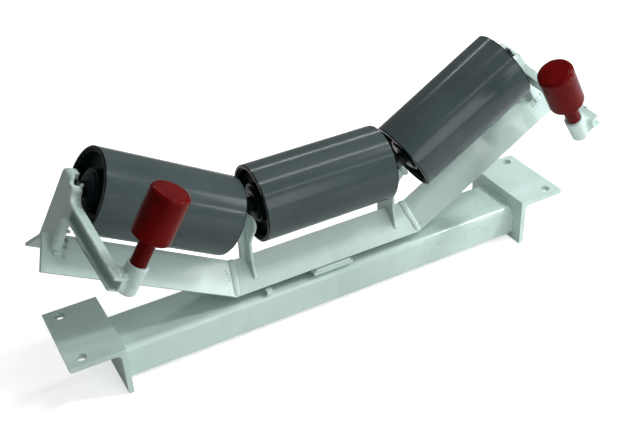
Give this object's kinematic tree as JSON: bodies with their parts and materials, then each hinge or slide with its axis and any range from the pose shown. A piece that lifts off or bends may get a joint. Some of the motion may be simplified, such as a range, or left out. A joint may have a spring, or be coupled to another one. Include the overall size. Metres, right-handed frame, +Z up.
{
  "type": "troughing idler set",
  "caption": "Self-aligning troughing idler: a base beam on bolt-down feet, a swivelling trough frame with carrying rollers, and cast arms with vertical guide rollers.",
  "frame": {"origin": "centre of the four foot bolts, in the plane that the undersides of the feet are bolted down on; the pivot axis of the frame passes through it", "axes": "+X across the belt, along the beam; +Y along the belt's run, the guide roller arms reach towards -Y; +Z up, along the bolts and the pivot"},
  "size_m": [0.7836, 0.2534, 0.3608],
  "materials": {
    "frame_paint": "pale grey-green enamel, satin gloss",
    "cast_paint": "the same enamel over a sand casting",
    "roller_enamel": "glossy mid-grey stove enamel",
    "cap_black": "black pressed steel, semi-gloss",
    "seal_rubber": "black nitrile, matte",
    "guide_red": "deep red gloss enamel",
    "shaft_steel": "turned bright steel, lightly oiled",
    "bearing_steel": "ground bearing steel",
    "bush_bronze": "cast bronze, machined",
    "screw_dark": "black oxide"
  },
  "bodies": {
    "base": {"base_beam": "frame_paint", "foot_left": "frame_paint", "foot_right": "frame_paint", "base_welds": "frame_paint", "pivot_housing": "frame_paint", "pivot_bush": "bush_bronze", "thrust_race_lower": "bearing_steel", "stop_lugs": "frame_paint"},
    "swivel_frame": {"frame_centre": "frame_paint", "frame_wing_left": "frame_paint", "frame_wing_right": "frame_paint", "knee_welds": "frame_paint", "pivot_plate": "frame_paint", "pivot_welds": "frame_paint", "kingpin": "shaft_steel", "thrust_race_upper": "bearing_steel", "thrust_balls": "bearing_steel", "pivot_washer": "shaft_steel", "pivot_nut": "shaft_steel", "split_pin": "shaft_steel", "swing_tongue": "frame_paint", "inner_bracket_left": "frame_paint", "inner_bracket_right": "frame_paint", "end_bracket_left": "cast_paint", "end_bracket_right": "cast_paint", "roller_left_races": "bearing_steel", "roller_left_covers": "cap_black", "roller_left_shaft": "shaft_steel", "roller_centre_races": "bearing_steel", "roller_centre_covers": "cap_black", "roller_centre_shaft": "shaft_steel", "roller_right_races": "bearing_steel", "roller_right_covers": "cap_black", "roller_right_shaft": "shaft_steel", "guide_left_races": "bearing_steel", "guide_left_spindle": "guide_red", "guide_left_screw": "screw_dark", "guide_right_races": "bearing_steel", "guide_right_spindle": "guide_red", "guide_right_screw": "screw_dark"},
    "roller_left": {"roller_left_tube": "roller_enamel", "roller_left_caps": "cap_black", "roller_left_bearings": "bearing_steel", "roller_left_seals": "seal_rubber"},
    "roller_centre": {"roller_centre_tube": "roller_enamel", "roller_centre_caps": "cap_black", "roller_centre_bearings": "bearing_steel", "roller_centre_seals": "seal_rubber"},
    "roller_right": {"roller_right_tube": "roller_enamel", "roller_right_caps": "cap_black", "roller_right_bearings": "bearing_steel", "roller_right_seals": "seal_rubber"},
    "guide_left": {"guide_left_body": "guide_red", "guide_left_bearings": "bearing_steel", "guide_left_seal": "seal_rubber"},
    "guide_right": {"guide_right_body": "guide_red", "guide_right_bearings": "bearing_steel", "guide_right_seal": "seal_rubber"}
  },
  "joints": [
    {"name": "frame_swing", "type": "hinge", "parent": "base", "child": "swivel_frame", "pos_m": [0, 0, 0], "axis": [0, 0, 1], "range_deg": [-10, 10]},
    {"name": "roller_centre_spin", "type": "hinge", "parent": "swivel_frame", "child": "roller_centre", "pos_m": [0, 0, 0.11836], "axis": [1, 0, 0], "continuous": true},
    {"name": "roller_left_spin", "type": "hinge", "parent": "swivel_frame", "child": "roller_left", "pos_m": [-0.2261, 0, 0.1641], "axis": [0.866, 0, -0.5], "continuous": true},
    {"name": "roller_right_spin", "type": "hinge", "parent": "swivel_frame", "child": "roller_right", "pos_m": [0.2261, 0, 0.1641], "axis": [0.866, 0, 0.5], "continuous": true},
    {"name": "guide_left_spin", "type": "hinge", "parent": "swivel_frame", "child": "guide_left", "pos_m": [-0.27205, -0.16553, 0.2579], "axis": [0.4985, -0.0785, 0.8634], "continuous": true},
    {"name": "guide_right_spin", "type": "hinge", "parent": "swivel_frame", "child": "guide_right", "pos_m": [0.27205, -0.16553, 0.2579], "axis": [-0.4985, -0.0785, 0.8634], "continuous": true}
  ]
}
